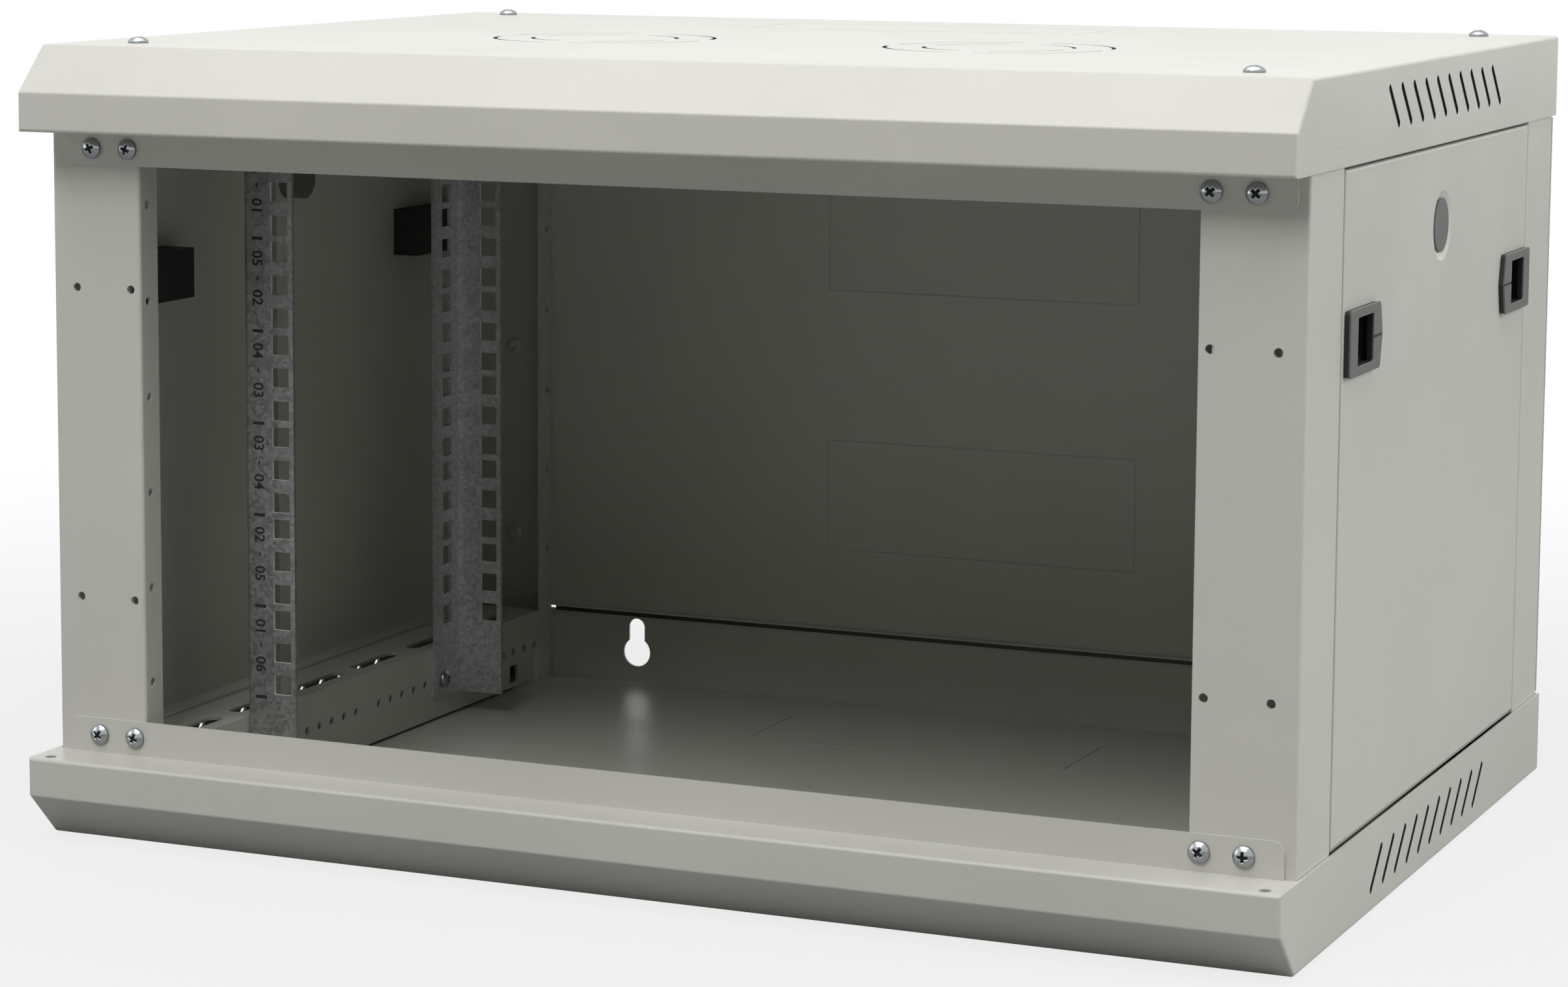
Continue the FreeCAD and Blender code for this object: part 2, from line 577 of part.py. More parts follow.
def side_panel(label, side):
    """A tray-folded panel with a dish for the round cap and a cut-out for each latch."""
    made = body(label)
    outer = f"{side} * {OUTER_FACE}"
    face = sketch(made, "YZ", f"{side} * ({OUTER_FACE} - panel_sheet / 2)")
    rectangle(face, PANEL_FRONT, PANEL_LOW, PANEL_REAR, PANEL_HIGH)
    pad(made, face, "panel_sheet", both_ways=True)
    rim = sketch(made, "YZ", f"{side} * ({OUTER_FACE} - (panel_return + panel_sheet) / 2)")
    rectangle(rim, PANEL_FRONT, PANEL_LOW, PANEL_REAR, PANEL_HIGH)
    rectangle(rim, f"{PANEL_FRONT} + panel_sheet", f"{PANEL_LOW} + panel_sheet",
              f"{PANEL_REAR} - panel_sheet", f"{PANEL_HIGH} - panel_sheet")
    pad(made, rim, "panel_return - panel_sheet", both_ways=True)
    rim_x = size(outer)
    round_edges(made, "panel_sheet", lambda edge: near(end_point(edge).x, rim_x)
                and near(edge.Vertexes[-1].Point.x, rim_x))

    middle = f"({PANEL_FRONT} + {PANEL_REAR}) / 2"
    dish = sketch(made, "YZ", f"{side} * ({OUTER_FACE} - panel_sheet - dish_depth / 2)")
    circle(dish, middle, CAP_RISE, "dish_radius")
    pad(made, dish, "dish_depth", both_ways=True)
    cone = sketch(made, "XZ", middle)
    cone.setExpression("AttachmentOffset.Base.y", bound(CAP_RISE))
    polygon(cone, [(f"{side} * ({OUTER_FACE} {depth})", radius) for depth, radius in (
        ("+ 1", "0"), ("+ 1", "dish_radius"), ("", "dish_radius"),
        ("- dish_depth", "dish_floor"), ("- dish_depth", "0"))])
    hollow = made.newObject("PartDesign::Groove", "Dish")
    hollow.Profile = cone
    hollow.ReferenceAxis = (cone, ["H_Axis"])
    hollow.Angle = 360
    bore = sketch(made, "YZ", outer)
    circle(bore, middle, CAP_RISE, "cap_hole")
    pocket(made, bore)
    for _, end in ENDS:
        at = latch_outlines(side, end)
        cut = sketch(made, "YZ", outer)
        near_y, low = at("case_start - fit_gap", "-case_tall / 2 - fit_gap")
        far_y, high = at("case_start + case_long + fit_gap", "case_tall / 2 + fit_gap")
        rectangle(cut, near_y, low, far_y, high)
        pocket(made, cut, "4 * panel_sheet")
        notch = sketch(made, "YZ", f"{side} * ({OUTER_FACE} - panel_return)")
        near_y, low = at("-latch_inset - 1", "-bolt_wide / 2 - 2 * fit_gap")
        far_y, high = at("-latch_inset + panel_sheet + 1", "bolt_wide / 2 + 2 * fit_gap")
        rectangle(notch, near_y, low, far_y, high)
        pocket(made, notch, "2 * (panel_return - bolt_depth + 2 * fit_gap)")
    return made


def panel_cap(label, side):
    """The round cap snapped into the dish: a flat head and a barrel behind the panel."""
    made = body(label)
    middle = f"({PANEL_FRONT} + {PANEL_REAR}) / 2"
    head_depth = "dish_depth"
    head = sketch(made, "YZ", f"{side} * ({OUTER_FACE} - {head_depth} / 2 - fit_gap / 2)")
    circle(head, middle, CAP_RISE, "cap_head")
    pad(made, head, "dish_depth - fit_gap", both_ways=True)
    barrel = sketch(made, "YZ", f"{side} * ({OUTER_FACE} - {head_depth} - cap_length / 2)")
    circle(barrel, middle, CAP_RISE, "cap_barrel")
    pad(made, barrel, "cap_length + dish_depth", both_ways=True)
    return made


def pointed_outline(outline, at, inset="0"):
    """The latch's outline: a rectangle whose inner end comes to a shallow point."""
    polygon(outline, [at(inward, up) for inward, up in (
        (inset, f"-latch_tall / 2 + {inset}"),
        (f"latch_long - latch_shoulder - {inset}", f"-latch_tall / 2 + {inset}"),
        (f"latch_long - {inset}", "0"),
        (f"latch_long - latch_shoulder - {inset}", f"latch_tall / 2 - {inset}"),
        (inset, f"latch_tall / 2 - {inset}"))])


def window(outline, at):
    near_y, low = at("window_start", "-window_tall / 2")
    far_y, high = at("window_start + window_long", "window_tall / 2")
    rectangle(outline, near_y, low, far_y, high)


def round_corners(made, at, radius, inwards, half_tall):
    """Rounds the edges across the panel that stand at the given distances from its edge."""
    spots = [[size(value) for value in at(inward, up)]
             for inward in inwards for up in (f"-({half_tall})", half_tall)]
    round_edges(made, radius, lambda edge: runs_along(edge, X_AXIS) and any(
        near(end_point(edge).y, y) and near(end_point(edge).z, z) for y, z in spots))


def latch_bezel(label, side, end):
    made = body(label)
    at = latch_outlines(side, end)
    plate = sketch(made, "YZ", f"{side} * ({OUTER_FACE} + latch_proud - latch_plate / 2)")
    pointed_outline(plate, at)
    window(plate, at)
    pad(made, plate, "latch_plate", both_ways=True)
    window_end = "window_start + window_long"
    round_corners(made, at, "latch_corner", ("0", "latch_long - latch_shoulder"), "latch_tall / 2")
    round_corners(made, at, "window_corner", ("window_start", window_end), "window_tall / 2")
    face = size(f"{side} * ({OUTER_FACE} + latch_proud)")
    round_edges(made, "latch_rim", lambda edge: all(near(v.X, face) for v in edge.Vertexes))
    index = sketch(made, "YZ", f"{side} * ({OUTER_FACE} + latch_proud)")
    near_y, low = at(f"{window_end} - 1", "-index_wide / 2")
    far_y, high = at("latch_long + 1", "index_wide / 2")
    rectangle(index, near_y, low, far_y, high)
    pocket(made, index, "2 * index_depth")
    return made


def latch_case(label, side, end):
    """The moulded case: a flange on the panel, a box behind it and a slot for the bolt."""
    made = body(label)
    at = latch_outlines(side, end)
    flange_thick = "(latch_proud - latch_plate)"
    flange = sketch(made, "YZ", f"{side} * ({OUTER_FACE} + {flange_thick} / 2)")
    pointed_outline(flange, at, "fit_gap")
    pad(made, flange, flange_thick, both_ways=True)
    round_corners(made, at, "latch_corner - fit_gap",
                  ("fit_gap", "latch_long - latch_shoulder - fit_gap"), "latch_tall / 2 - fit_gap")
    box = sketch(made, "YZ", f"{side} * ({OUTER_FACE} - case_deep / 2)")
    near_y, low = at("case_start", "-case_tall / 2")
    far_y, high = at("case_start + case_long", "case_tall / 2")
    rectangle(box, near_y, low, far_y, high)
    pad(made, box, "case_deep", both_ways=True)
    opening = sketch(made, "YZ", f"{side} * {OUTER_FACE}")
    window(opening, at)
    pocket(made, opening, "2 * latch_proud")
    hollow = sketch(made, "YZ", f"{side} * ({OUTER_FACE} - (case_deep - case_wall) / 2)")
    near_y, low = at("case_start + case_end_wall", "-cup_tall / 2 - fit_gap")
    far_y, high = at("case_start + case_long - case_end_wall / 2", "cup_tall / 2 + fit_gap")
    rectangle(hollow, near_y, low, far_y, high)
    pocket(made, hollow, "case_deep - case_wall")
    gate = sketch(made, "YZ",
                  f"{side} * ({OUTER_FACE} - bolt_depth - bolt_thick / 2)")
    near_y, low = at("case_start - 1", "-bolt_wide / 2 - fit_gap")
    far_y, high = at("case_start + case_end_wall + 1", "bolt_wide / 2 + fit_gap")
    rectangle(gate, near_y, low, far_y, high)
    pocket(made, gate, "bolt_thick + 2 * fit_gap")
    return made


def latch_slider(label, side, end):
    """The finger cup and its bolt, drawn back: thrown, the bolt reaches behind the post."""
    made = body(label)
    at = latch_outlines(side, end)
    floor = "bolt_depth + bolt_thick"
    bolt = sketch(made, "YZ", f"{side} * ({OUTER_FACE} - bolt_depth - bolt_thick / 2)")
    near_y, low = at("-latch_inset + fit_gap", "-bolt_wide / 2")
    far_y, high = at("cup_start + cup_wall", "bolt_wide / 2")
    rectangle(bolt, near_y, low, far_y, high)
    pad(made, bolt, "bolt_thick", both_ways=True)
    cup = sketch(made, "YZ", f"{side} * ({OUTER_FACE} - (cup_top + {floor}) / 2)")
    near_y, low = at("cup_start", "-cup_tall / 2")
    far_y, high = at("cup_start + cup_long", "cup_tall / 2")
    rectangle(cup, near_y, low, far_y, high)
    pad(made, cup, f"{floor} - cup_top", both_ways=True)
    hollow = sketch(made, "YZ", f"{side} * ({OUTER_FACE} - (cup_top + bolt_depth) / 2)")
    near_y, low = at("cup_start + cup_wall", "-cup_tall / 2 + cup_wall")
    far_y, high = at("cup_start + cup_long - cup_wall", "cup_tall / 2 - cup_wall")
    rectangle(hollow, near_y, low, far_y, high)
    pocket(made, hollow, "bolt_depth - cup_top")
    return made


# --- fasteners ----------------------------------------------------------------------------------

def pan_screw(shank, length):
    """A pan-head screw along -Z with the head's seat at the origin: a domed head on a shank."""
    head, rise, stem = size("screw_head"), size("screw_head_rise"), size(shank)
    rim = rise / 3
    centre = (rise ** 2 - head ** 2 - rim ** 2) / (2 * (rise - rim))
    bow, half = rise - centre, math.asin(head / (rise - centre)) / 2
    dome = Part.Arc(Vector(head, 0, rim), Vector(bow * math.sin(half), 0,
                                                 centre + bow * math.cos(half)),
                    Vector(0, 0, rise))
    corners = [Vector(0, 0, rise), Vector(0, 0, -size(length)), Vector(stem, 0, -size(length)),
               Vector(stem, 0, 0), Vector(head, 0, 0), Vector(head, 0, rim)]
    edges = [Part.makeLine(a, b) for a, b in zip(corners, corners[1:])] + [dome.toShape()]
    face = Part.Face(Part.Wire(edges))
    return face.revolve(Vector(0, 0, 0), Z_AXIS, 360)


def flush_screw():
    """A flat-head screw along +Z whose head is let into the sheet above the origin."""
    head = Part.makeCylinder(size("flush_head"), size("flush_rise"))
    shank = Part.makeCylinder(size("frame_screw_shank"), size("frame_screw_length"))
    return head.fuse(shank).removeSplitter()


def group(label, solid, places):
    """One node of like fasteners: a separate solid at each (position, direction)."""
    copies = []
    for position, direction in places:
        copy = solid.copy()
        copy.Placement = FreeCAD.Placement(position, FreeCAD.Rotation(Z_AXIS, direction))
        copies.append(copy)
    made = document.addObject("Part::Feature", label)
    made.Shape = Part.makeCompound(copies)
    made.Placement = FreeCAD.Placement()
    made.Label = label
    return made


def screw_groups():
    pan = pan_screw("screw_shank", "screw_length")
    front = size(f"{FRONT_FACE} - cover_sheet")
    for name, z in (("top_flange_screws", "height - skirt_rise - flange_screw_drop"),
                    ("bottom_flange_screws", "skirt_rise + flange_screw_drop")):
        group(name, pan, [(Vector(size(x), front, size(z)), -Y_AXIS) for x in FLANGE_SCREWS])
    frame_screw = pan_screw("frame_screw_shank", "frame_screw_length")
    spots = [(size(x), size(y)) for x, y in cover_screw_spots()]
    group("top_cover_screws", frame_screw,
          [(Vector(x, y, size("height")), Z_AXIS) for x, y in spots])
    recess = size("cover_sheet") - size("flush_rise")
    group("bottom_cover_screws", flush_screw(), [(Vector(x, y, recess), Z_AXIS) for x, y in spots])
    inner = size(INNER_FACE) - size("rail_sheet")
    for side_name, side in SIDES:
        group(f"rail_screws_{side_name}", pan,
              [(Vector(side * inner, size(y), size(z)), X_AXIS * -side)
               for y in RAIL_SCREW_SPOTS.values()
               for z in ("rail_screw_rise", "height - rail_screw_rise")])
    columns = [side * size(f"{OUTER_FACE} - back_screw_in") for _, side in SIDES]
    short = pan_screw("screw_shank", "post_sheet + panel_sheet - 0.1")
    inside = size(f"{REAR_FACE} - post_sheet")
    group("back_panel_screws", short,
          [(Vector(x, inside, size(f"height / 2 + back_screw_pitch * {step}")), -Y_AXIS)
           for x in columns for step in (-1, 0, 1)])


# --- the whole cabinet --------------------------------------------------------------------------

def from_floor(q):
    return f"({q})"


def from_top(q):
    return f"(height - ({q}))"


def build():
    fan_rings(cover("top_cover", from_top), "height")
    cover("bottom_cover", from_floor)
    back_panel()
    for side_name, side in SIDES:
        for end_name, end in ENDS:
            post(f"{end_name}_post_{side_name}", side, end)
            mounting_rail(f"mounting_rail_{end_name}_{side_name}", side, end_name, end)
            name = f"{side_name}_{end_name}"
            latch_bezel(f"latch_bezel_{name}", side, end)
            latch_case(f"latch_case_{name}", side, end)
            latch_slider(f"latch_slider_{name}", side, end)
        side_rail(f"lower_side_rail_{side_name}", side, from_floor)
        side_rail(f"upper_side_rail_{side_name}", side, from_top)
        side_panel(f"side_panel_{side_name}", side)
        panel_cap(f"panel_cap_{side_name}", side)
    screw_groups()


def check_and_write():
    document.recompute()
    for made in document.Objects:
        if "Invalid" in made.State or "Error" in made.State:
            raise RuntimeError(f"{made.Name} ({made.Label}) is in state {made.State}")
    os.makedirs("parts", exist_ok=True)
    pieces = [made for made in document.Objects
              if made.TypeId in ("PartDesign::Body", "Part::Feature")]
    for piece in pieces:
        shape = piece.Shape
        if shape.isNull() or not shape.isValid() or not shape.Solids:
            raise RuntimeError(f"{piece.Label} has no valid solid")
        shape.exportStep(f"parts/{piece.Label}.step")
        print(f"{piece.Label}: {len(shape.Solids)} solid(s), {shape.Volume:.0f} mm3")


build()
check_and_write()
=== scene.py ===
"""Wall mount network cabinet: finishes, screws, rail marks and the studio it stands in."""
import json
import math

import bpy
import numpy as np
from mathutils import Matrix, Vector


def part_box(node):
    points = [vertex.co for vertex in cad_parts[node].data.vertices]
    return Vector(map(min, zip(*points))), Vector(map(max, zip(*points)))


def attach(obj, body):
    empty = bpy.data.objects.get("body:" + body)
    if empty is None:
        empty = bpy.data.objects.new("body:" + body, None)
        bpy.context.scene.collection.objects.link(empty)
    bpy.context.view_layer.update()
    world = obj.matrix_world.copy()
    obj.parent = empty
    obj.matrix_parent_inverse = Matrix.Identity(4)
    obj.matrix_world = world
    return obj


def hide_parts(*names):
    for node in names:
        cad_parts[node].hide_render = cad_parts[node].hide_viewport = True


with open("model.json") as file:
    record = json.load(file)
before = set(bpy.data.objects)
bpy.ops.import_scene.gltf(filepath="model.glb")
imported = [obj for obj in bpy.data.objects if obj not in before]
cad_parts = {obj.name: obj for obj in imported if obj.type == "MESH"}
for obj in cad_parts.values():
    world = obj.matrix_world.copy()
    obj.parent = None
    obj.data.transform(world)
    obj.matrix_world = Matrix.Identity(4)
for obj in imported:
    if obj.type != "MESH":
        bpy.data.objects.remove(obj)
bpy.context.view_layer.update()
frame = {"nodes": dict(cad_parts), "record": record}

bl_info = {
    "name": "Wall Mount Network Cabinet",
    "version": (1, 0, 0),
    "blender": (4, 5, 0),
    "location": "3D View > Sidebar > Cabinet",
    "description": "Finishes, screws, rail marks and studio for a folded steel wall cabinet",
    "category": "Object",
}

MM = 0.001
COVER_SHEET = 1.2 * MM
RAIL_SHEET = 2.0 * MM
RACK_COLUMN = 232.55 * MM
UNITS = 6
NODES = frame["nodes"]
MATERIALS = {}


def body_of_node(node):
    """The name of the moving body that a node belongs to."""
    groups = frame["record"]["behaviour"]["bodies"]
    return next(name for name, members in groups.items() if node in members)


# --- settings -----------------------------------------------------------------------------------

def colour(name, description, value):
    return bpy.props.FloatVectorProperty(name=name, description=description, default=value,
                                         subtype="COLOR", size=4, min=0.0, max=1.0)


def length(name, description, value):
    return bpy.props.FloatProperty(name=name, description=description, default=value,
                                   unit="LENGTH", min=0.0)


def factor(name, description, value, top=1.0):
    return bpy.props.FloatProperty(name=name, description=description, default=value,
                                   min=0.0, max=top)


class CabinetFinishes(bpy.types.PropertyGroup):
    paint: colour("Powder coat", "Colour of the painted sheet", (0.582, 0.577, 0.530, 1.0))
    # painted shade: a dark colour painted on the walls inside the cut-outs and on the back panel's
    # seams
    edge: colour("Painted shade", "Colour of the painted shade on the walls inside cuts and on the seams",
                 (0.045, 0.044, 0.042, 1.0))
    paint_grain: length("Coat grain", "Width of one ripple of the powder coat", 1.1 * MM)
    paint_roughness: factor("Coat roughness", "Roughness of the powder coat", 0.3)
    zinc: colour("Galvanised rail", "Colour of the zinc on the rails", (0.46, 0.47, 0.47, 1.0))
    # painted highlight: near-white on the walls of the rails' square holes, so they read as lit
    # edges
    hole_highlight: colour("Painted hole highlight", "Colour of the painted highlight on the rails' hole walls",
                    (0.90, 0.90, 0.90, 1.0))
    spangle: length("Spangle", "Width of one zinc crystal on the rails", 1.7 * MM)
    screw: colour("Screw zinc", "Colour of the bright plated screws", (0.36, 0.38, 0.39, 1.0))
    bezel: colour("Latch grey", "Colour of the latch bezels", (0.140, 0.132, 0.129, 1.0))
    black: colour("Black plastic", "Colour of the latch cases", (0.012, 0.012, 0.012, 1.0))
    ink: colour("Rail ink", "Colour of the printed unit marks", (0.02, 0.02, 0.02, 1.0))


class CabinetScrews(bpy.types.PropertyGroup):
    recess_width: length("Recess width", "Width of one arm of the cross recess", 1.15 * MM)
    recess_reach: length("Recess reach", "How far the arms reach from the middle", 2.5 * MM)
    recess_depth: length("Recess depth", "Depth of the recess at the middle", 1.5 * MM)


class CabinetMarks(bpy.types.PropertyGroup):
    digit_height: length("Digit height", "Height of the printed digits", 5.4 * MM)
    tick_length: length("Tick length", "Length of a unit tick", 6.0 * MM)
    tick_width: length("Tick width", "Width of a unit tick", 1.5 * MM)
    unit: length("Rack unit", "Height of one rack unit", 44.45 * MM)


class CabinetStage(bpy.types.PropertyGroup):
    floor: colour("Floor", "Colour of the studio floor", (0.36, 0.36, 0.36, 1.0))
    overhead: factor("Overhead power", "Power of the overhead softbox in watts", 35.0, 2000.0)
    side: factor("Side power", "Power of the side softbox in watts", 43.0, 2000.0)
    key: factor("Key power", "Power of the high softbox at the front in watts", 36.0, 2000.0)
    rim: factor("Rim power", "Power of the low softbox at the left in watts", 8.0, 2000.0)
    fill: factor("Room light", "Strength of the room's own light", 0.03)


# --- node helpers -------------------------------------------------------------------------------

def group_tree(name, inputs, outputs):
    """A new shader node group of number sockets; gives the tree and its two ends.

    The inputs are names with their default values, and the outputs are names alone.
    """
    tree = bpy.data.node_groups.new(name, "ShaderNodeTree")
    for label, value in inputs.items():
        made = tree.interface.new_socket(name=label, in_out="INPUT",
                                         socket_type="NodeSocketFloat")
        made.default_value = value
    for label in outputs:
        tree.interface.new_socket(name=label, in_out="OUTPUT", socket_type="NodeSocketFloat")
    return tree, tree.nodes.new("NodeGroupInput"), tree.nodes.new("NodeGroupOutput")


def math_node(tree, operation, first, second=None, third=None):
    """One arithmetic step on values or sockets; gives the result's socket."""
    made = tree.nodes.new("ShaderNodeMath")
    made.operation = operation
    for socket, value in zip(made.inputs, (first, second, third)):
        if value is None:
            continue
        if isinstance(value, (int, float)):
            socket.default_value = value
        else:
            tree.links.new(value, socket)
    return made.outputs[0]


def noise_node(tree, coordinates, scale, detail=2.0, roughness=0.5):
    """A noise value over the given coordinates, between 0 and 1."""
    made = tree.nodes.new("ShaderNodeTexNoise")
    tree.links.new(coordinates, made.inputs["Vector"])
    if isinstance(scale, (int, float)):
        made.inputs["Scale"].default_value = scale
    else:
        tree.links.new(scale, made.inputs["Scale"])
    made.inputs["Detail"].default_value = detail
    made.inputs["Roughness"].default_value = roughness
    return made.outputs["Fac"]


def ramp_node(tree, value, low, high, to_low=0.0, to_high=1.0):
    """A smooth step from one level to another as a value goes from low to high."""
    made = tree.nodes.new("ShaderNodeMapRange")
    made.interpolation_type = "SMOOTHSTEP"
    tree.links.new(value, made.inputs["Value"])
    for socket, number in zip(("From Min", "From Max", "To Min", "To Max"),
                              (low, high, to_low, to_high)):
        made.inputs[socket].default_value = number
    return made.outputs["Result"]


def mix_colour(tree, share, first, second):
    """The first colour where the share is 0 and the second where it is 1."""
    made = tree.nodes.new("ShaderNodeMix")
    made.data_type = "RGBA"
    for socket, value in ((made.inputs[0], share), (made.inputs[6], first),
                          (made.inputs[7], second)):
        if isinstance(value, tuple):
            socket.default_value = value
        else:
            tree.links.new(value, socket)
    return made.outputs[2]


def build_ripple_group():
    """Powder coat: the height is fine noise plus half of a coarser one, as orange peel has."""
    tree, ends_in, ends_out = group_tree("Coat Ripple", {"Grain": 900.0},
                                         ("Height", "Mottle"))
    place = tree.nodes.new("ShaderNodeTexCoord").outputs["Object"]
    fine = noise_node(tree, place, ends_in.outputs["Grain"], 2.0, 0.45)
    coarse = noise_node(tree, place, math_node(tree, "MULTIPLY", ends_in.outputs["Grain"], 0.35))
    tree.links.new(math_node(tree, "MULTIPLY_ADD", coarse, 0.5, fine), ends_out.inputs["Height"])
    tree.links.new(noise_node(tree, place, 9.0, 4.0), ends_out.inputs["Mottle"])
    return tree


def build_handling_group():
    """Smears and dust: a soft mask where broad noise is high, between 0 and the amount."""
    tree, ends_in, ends_out = group_tree("Handling", {"Amount": 1.0}, ("Mask",))
    place = tree.nodes.new("ShaderNodeTexCoord").outputs["Object"]
    wide = ramp_node(tree, noise_node(tree, place, 14.0, 5.0, 0.62), 0.45, 0.72)
    tree.links.new(math_node(tree, "MULTIPLY", wide, ends_in.outputs["Amount"]),
                   ends_out.inputs["Mask"])
    return tree


def build_spangle_group():
    """Zinc crystals: cells of a Voronoi pattern, each with its own tone, over fine noise."""
    tree, ends_in, ends_out = group_tree("Spangle", {"Cells": 450.0}, ("Tone", "Height"))
    place = tree.nodes.new("ShaderNodeTexCoord").outputs["Object"]
    cells = tree.nodes.new("ShaderNodeTexVoronoi")
    tree.links.new(place, cells.inputs["Vector"])
    tree.links.new(ends_in.outputs["Cells"], cells.inputs["Scale"])
    split = tree.nodes.new("ShaderNodeSeparateColor")
    tree.links.new(cells.outputs["Color"], split.inputs["Color"])
    fine = noise_node(tree, place, 2600.0, 3.0, 0.6)
    tree.links.new(math_node(tree, "MULTIPLY_ADD", fine, 0.6,
                             math_node(tree, "MULTIPLY", split.outputs[0], 0.4)),
                   ends_out.inputs["Tone"])
    tree.links.new(fine, ends_out.inputs["Height"])
    return tree


def between(tree, value, low, high):
    """1 where a value lies between two others, 0 elsewhere."""
    return math_node(tree, "COMPARE", value, (low + high) / 2, (high - low) / 2)


def within_sheet(tree, value, face, sheet):
    """1 between the two faces of a sheet, with a tenth of its thickness left out at each."""
    inner, outer = face - 0.9 * sheet, face - 0.1 * sheet
    return between(tree, value, min(inner, outer), max(inner, outer))


def axis_values(tree):
    """|x|, y and z of a point of the cabinet, each as a value."""
    place = tree.nodes.new("ShaderNodeTexCoord").outputs["Object"]
    split = tree.nodes.new("ShaderNodeSeparateXYZ")
    tree.links.new(place, split.inputs[0])
    return math_node(tree, "ABSOLUTE", split.outputs[0]), split.outputs[1], split.outputs[2]


def build_cut_shade_group():
    """Marks the thin walls inside the side vents and the fan slits of the covers, which take a
    dark painted shade.

    Such a wall is the only thing that lies within the sheet's thickness in those places, so
    the mask is 1 where |x| or z is inside the sheet and the point is near the cut-outs.
    """
    tree, _, ends_out = group_tree("Painted Cut Shade", {}, ("Mask",))
    wide, back, up = axis_values(tree)
    side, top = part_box("top_cover")[1].x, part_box("top_cover")[1].z
    middle = (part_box("bottom_cover")[0].z + top) / 2
    off_middle = math_node(tree, "ABSOLUTE", math_node(tree, "SUBTRACT", up, middle))
    vent_front, vent_rear, vent_inner, vent_outer = -115 * MM, 135 * MM, 34 * MM, 4 * MM
    fan_near, fan_far, fan_front, fan_rear = 40 * MM, 160 * MM, -90 * MM, 40 * MM
    vents = math_node(tree, "MULTIPLY", within_sheet(tree, wide, side, COVER_SHEET),
                      math_node(tree, "MULTIPLY", between(tree, back, vent_front, vent_rear),
                                between(tree, off_middle, middle - vent_inner,
                                        middle - vent_outer)))
    slits = math_node(tree, "MULTIPLY", within_sheet(tree, up, top, COVER_SHEET),
                      math_node(tree, "MULTIPLY", between(tree, wide, fan_near, fan_far),
                                between(tree, back, fan_front, fan_rear)))
    tree.links.new(math_node(tree, "MAXIMUM", vents, slits), ends_out.inputs["Mask"])
    return tree


def build_hole_highlight_group():
    """Marks the walls of the rails' square holes, which get a near-white painted highlight over
    their cut steel.

    In the column of the holes, a point that lies within the thickness of a rail's face is on
    the wall of a hole.
    """
    tree, _, ends_out = group_tree("Painted Hole Highlight", {}, ("Mask",))
    wide, back, _ = axis_values(tree)
    reach = 5.2 * MM
    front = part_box("mounting_rail_front_left")[0].y
    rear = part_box("mounting_rail_rear_left")[1].y
    faces = math_node(tree, "MAXIMUM", within_sheet(tree, back, front, -RAIL_SHEET),
                      within_sheet(tree, back, rear, RAIL_SHEET))
    tree.links.new(math_node(tree, "MULTIPLY", faces,
                             between(tree, wide, RACK_COLUMN - reach, RACK_COLUMN + reach)),
                   ends_out.inputs["Mask"])
    return tree


def build_seam_shadow_group():
    """Marks the front of the back panel's tongues, where they close the seams to the covers, for a
    dark painted shadow of the seams.
    """
    tree, _, ends_out = group_tree("Seam", {}, ("Mask",))
    _, back, up = axis_values(tree)
    low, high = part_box("back_panel")
    middle, tip = (low.z + high.z) / 2, (high.z - low.z) / 2
    tongue, spare, skin = 2.2 * MM, 0.5 * MM, 0.3 * MM
    off_middle = math_node(tree, "ABSOLUTE", math_node(tree, "SUBTRACT", up, middle))
    # painted shadow: this band of the tongue's front takes the dark colour as the seam's shade
    front = between(tree, back, low.y - spare, low.y + skin)
    tree.links.new(math_node(tree, "MULTIPLY", front,
                             between(tree, off_middle, tip - tongue, tip + spare)),
                   ends_out.inputs["Mask"])
    return tree


def place_group(tree, group, **values):
    """One use of a shared group, with its own values."""
    made = tree.nodes.new("ShaderNodeGroup")
    made.node_tree = group
    for label, number in values.items():
        made.inputs[label].default_value = number
    return made


def new_material(name, base, roughness, metallic=0.0, specular=0.5):
    """A material with its plain values set; gives its node tree and its shader."""
    made = bpy.data.materials.new(name)
    made.use_nodes = True
    tree = made.node_tree
    shader = tree.nodes["Principled BSDF"]
    shader.inputs["Base Color"].default_value = tuple(base)
    shader.inputs["Roughness"].default_value = roughness
    shader.inputs["Metallic"].default_value = metallic
    shader.inputs["Specular IOR Level"].default_value = specular
    MATERIALS[name] = made
    return tree, shader


def bump(tree, shader, height, distance, strength=1.0):
    """Turns a height into relief of the given depth on a shader's normal."""
    made = tree.nodes.new("ShaderNodeBump")
    made.inputs["Strength"].default_value = strength
    made.inputs["Distance"].default_value = distance
    tree.links.new(height, made.inputs["Height"])
    tree.links.new(made.outputs["Normal"], shader.inputs["Normal"])


def tinted(base, gain):
    """A colour made lighter or darker by a gain."""
    return tuple(min(1.0, channel * gain) for channel in tuple(base)[:3]) + (1.0,)


def wear_material(node, name):
    """Puts a named material on every slot of a node."""
    for slot in NODES[node].material_slots:
        slot.material = MATERIALS[name]


# --- mesh helpers -------------------------------------------------------------------------------

def mesh_piece(name, vertices, faces, body, material, smooth=True):
    """Puts arrays of vertices and faces into an object at the origin and sets it on a body."""
    mesh = bpy.data.meshes.new(name)
    mesh.from_pydata(vertices, [], faces)
    mesh.polygons.foreach_set("use_smooth", np.full(len(mesh.polygons), smooth))
    mesh.materials.append(MATERIALS[material])
    mesh.update()
    made = bpy.data.objects.new(name, mesh)
    bpy.context.scene.collection.objects.link(made)
    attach(made, body)
    return made


def grid_faces(rings, turns):
    """Quads between rings of a closed tube, ring by ring, looking outwards."""
    i, j = np.meshgrid(np.arange(rings - 1), np.arange(turns), indexing="ij")
    k = (j + 1) % turns
    return np.stack([i * turns + j, (i + 1) * turns + j, (i + 1) * turns + k, i * turns + k],
                    axis=-1).reshape(-1, 4)


